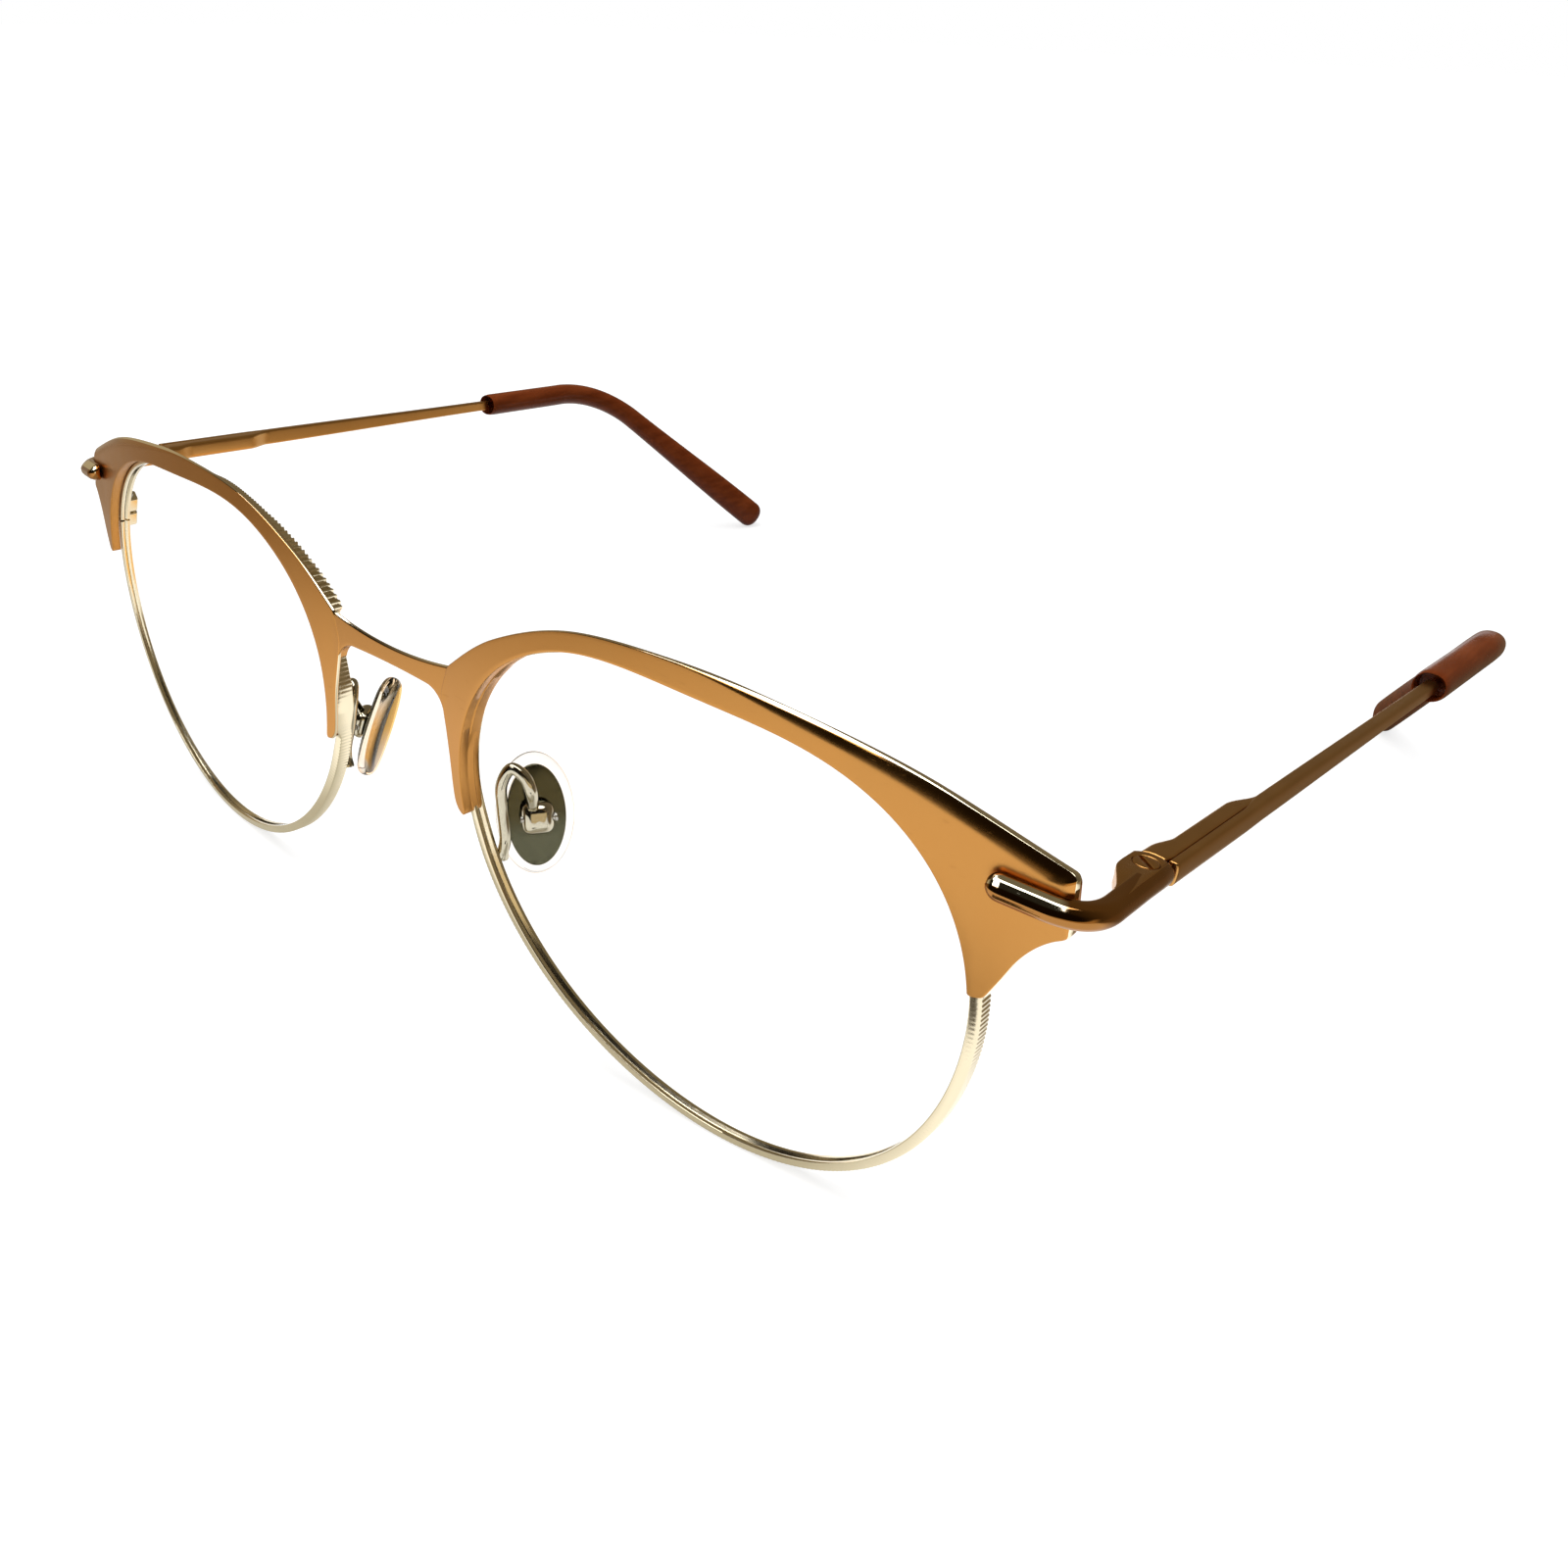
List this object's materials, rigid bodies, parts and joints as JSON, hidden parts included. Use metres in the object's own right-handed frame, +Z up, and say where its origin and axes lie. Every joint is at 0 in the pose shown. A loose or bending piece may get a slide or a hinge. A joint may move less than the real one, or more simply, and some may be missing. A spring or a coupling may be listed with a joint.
{
  "type": "round eyeglasses",
  "caption": "Round metal browline eyeglasses: gold brow sheet over silver rims, clear lenses, soft nose pads and folding spring-hinged temples with brown ear tips.",
  "frame": {"origin": "centre of the footprint, on the table that the two rims and the two temple tips stand on", "axes": "+X towards the wearer's left, +Y back from the lenses along the open temples, +Z up from the table"},
  "size_m": [0.1504, 0.14, 0.0488],
  "materials": {
    "satin_gold": "satin",
    "polished_gold": "polished",
    "silver": "polished",
    "steel": "turned",
    "clear_silicone": "clear gloss",
    "brown_tip": "gloss",
    "clear_lens": "clear"
  },
  "bodies": {
    "front": {"brow_front": "satin_gold", "left_rim": "silver", "left_lens": "clear_lens", "left_rim_lock_upper_block": "silver", "left_rim_lock_lower_block": "silver", "left_rim_lock_screw": "steel", "left_pad_arm": "silver", "left_pad_box": "silver", "left_pad_screw": "steel", "left_endpiece": "polished_gold", "left_hinge_fork": "polished_gold", "left_hinge_screw": "polished_gold", "right_rim": "silver", "right_lens": "clear_lens", "right_rim_lock_upper_block": "silver", "right_rim_lock_lower_block": "silver", "right_rim_lock_screw": "steel", "right_pad_arm": "silver", "right_pad_box": "silver", "right_pad_screw": "steel", "right_endpiece": "polished_gold", "right_hinge_fork": "polished_gold", "right_hinge_screw": "polished_gold"},
    "left_tongue": {"left_hinge_tongue": "steel"},
    "left_temple": {"left_spring_stop": "steel", "left_hinge_spring": "steel", "left_spring_housing": "satin_gold", "left_temple_arm": "satin_gold", "left_temple_tip": "brown_tip"},
    "right_tongue": {"right_hinge_tongue": "steel"},
    "right_temple": {"right_spring_stop": "steel", "right_hinge_spring": "steel", "right_spring_housing": "satin_gold", "right_temple_arm": "satin_gold", "right_temple_tip": "brown_tip"},
    "left_pad": {"left_nose_pad": "clear_silicone", "left_pad_core": "silver"},
    "right_pad": {"right_nose_pad": "clear_silicone", "right_pad_core": "silver"}
  },
  "joints": [
    {"name": "left_fold", "type": "hinge", "parent": "front", "child": "left_tongue", "pos_m": [0.06809, -0.05424, 0.03838], "axis": [0.0006, 0.09, 0.9959], "range_deg": [-10, 87]},
    {"name": "left_spring_pull", "type": "slide", "parent": "left_tongue", "child": "left_temple", "axis": [0.0523, 0.9946, -0.0899], "range_m": [0, 0.001], "stiffness_N_per_m": 300, "springref_m": -0.002, "deforming": ["left_hinge_spring"]},
    {"name": "right_fold", "type": "hinge", "parent": "front", "child": "right_tongue", "pos_m": [-0.06809, -0.05424, 0.03838], "axis": [0.0006, -0.09, -0.9959], "range_deg": [-10, 76]},
    {"name": "right_spring_pull", "type": "slide", "parent": "right_tongue", "child": "right_temple", "axis": [-0.0523, 0.9946, -0.0899], "range_m": [0, 0.001], "stiffness_N_per_m": 300, "springref_m": -0.002, "deforming": ["right_hinge_spring"]},
    {"name": "left_pad_rock", "type": "hinge", "parent": "front", "child": "left_pad", "pos_m": [0.01367, -0.06298, 0.02276], "axis": [-0.4996, -0.8657, 0.0291], "range_deg": [-8, 8]},
    {"name": "right_pad_rock", "type": "hinge", "parent": "front", "child": "right_pad", "pos_m": [-0.01367, -0.06298, 0.02276], "axis": [0.4996, -0.8657, 0.0291], "range_deg": [-8, 8]}
  ]
}
